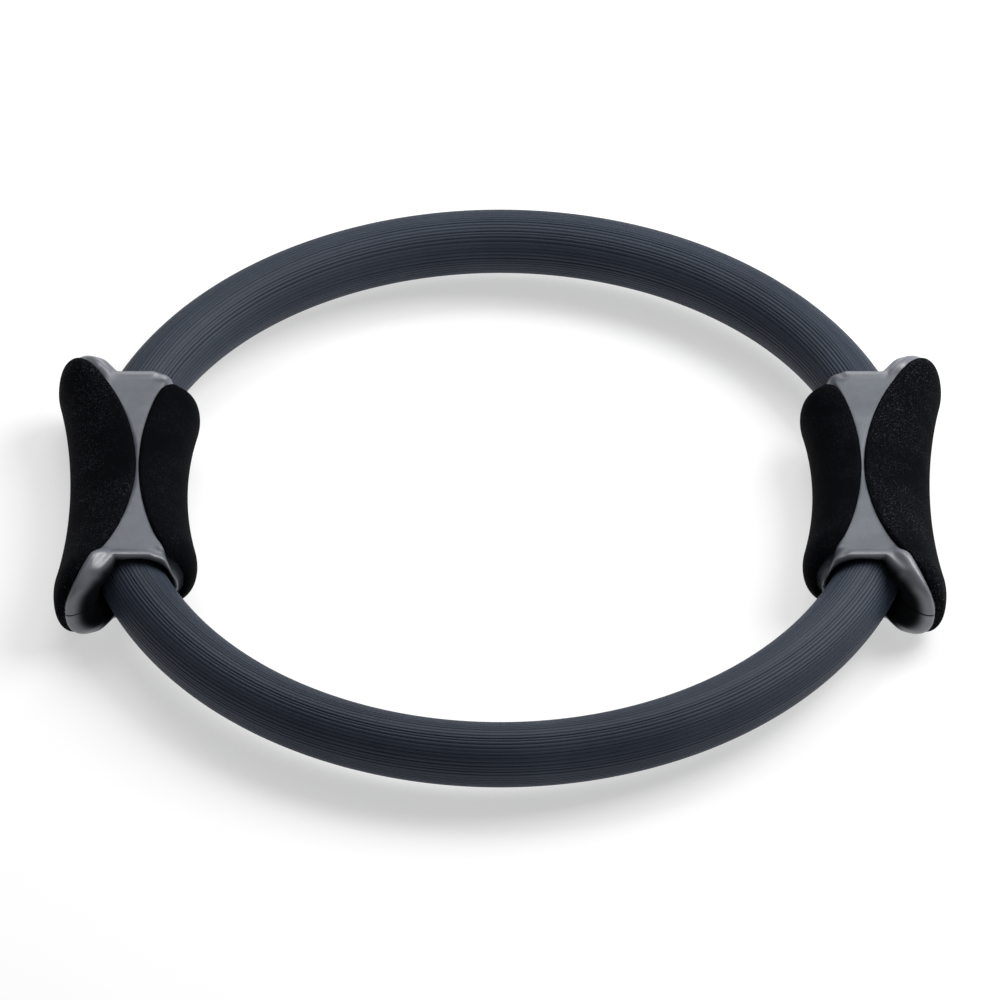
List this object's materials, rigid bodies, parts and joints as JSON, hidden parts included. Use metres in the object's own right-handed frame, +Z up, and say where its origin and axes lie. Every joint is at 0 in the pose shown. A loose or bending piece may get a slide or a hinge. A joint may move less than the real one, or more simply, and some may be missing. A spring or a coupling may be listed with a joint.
{
  "type": "pilates ring",
  "caption": "Flexible pilates ring: sprung hoop in ribbed foam sleeves with padded handles on opposite sides, squeezed or pushed apart for resistance exercise.",
  "frame": {"origin": "centre of the ring, on its middle plane", "axes": "+X to the right handle, +Y to the back of the ring, +Z up, square to the ring's plane"},
  "size_m": [0.3836, 0.3596, 0.042],
  "materials": {
    "handle_shell": "satin",
    "pad_foam": "matte",
    "sleeve_foam": "satin",
    "strip_fibreglass": "satin",
    "screw_steel": "satin",
    "rivet_aluminium": "satin"
  },
  "bodies": {
    "left_handle": {"left_upper_shell": "handle_shell", "left_lower_shell": "handle_shell", "left_outer_pad": "pad_foam", "left_inner_pad": "pad_foam", "left_shell_screws": "screw_steel", "left_strip_rivets": "rivet_aluminium", "front_strip": "strip_fibreglass", "back_strip": "strip_fibreglass"},
    "front_left_arc": {"front_left_sleeve": "sleeve_foam"},
    "front_right_arc": {"front_right_sleeve": "sleeve_foam"},
    "right_handle": {"right_upper_shell": "handle_shell", "right_lower_shell": "handle_shell", "right_outer_pad": "pad_foam", "right_inner_pad": "pad_foam", "right_shell_screws": "screw_steel", "right_strip_rivets": "rivet_aluminium"},
    "back_left_arc": {"back_left_sleeve": "sleeve_foam"},
    "back_right_arc": {"back_right_sleeve": "sleeve_foam"}
  },
  "joints": [
    {"name": "squeeze", "type": "hinge", "parent": "left_handle", "child": "front_left_arc", "pos_m": [-0.15697, -0.054, 0], "axis": [0, 0, -1], "range_deg": [-5, 12], "stiffness_Nm_per_rad": 110},
    {"name": "front_middle_bend", "type": "hinge", "parent": "front_left_arc", "child": "front_right_arc", "pos_m": [0, -0.166, 0], "axis": [0, 0, 1], "range_deg": [-10, 24], "deforming": ["front_strip"]},
    {"name": "front_right_swing", "type": "hinge", "parent": "front_right_arc", "child": "right_handle", "pos_m": [0.15697, -0.054, 0], "axis": [0, 0, -1], "range_deg": [-5, 12]},
    {"name": "back_left_swing", "type": "hinge", "parent": "left_handle", "child": "back_left_arc", "pos_m": [-0.15697, 0.054, 0], "axis": [0, 0, 1], "range_deg": [-5, 12]},
    {"name": "back_middle_bend", "type": "hinge", "parent": "back_left_arc", "child": "back_right_arc", "pos_m": [0, 0.166, 0], "axis": [0, 0, -1], "range_deg": [-10, 24], "deforming": ["back_strip"]}
  ],
  "couplings": [
    {"joint": "front_middle_bend", "follows": "squeeze", "ratio": 2},
    {"joint": "front_right_swing", "follows": "squeeze", "ratio": 1},
    {"joint": "back_left_swing", "follows": "squeeze", "ratio": 1},
    {"joint": "back_middle_bend", "follows": "squeeze", "ratio": 2}
  ]
}
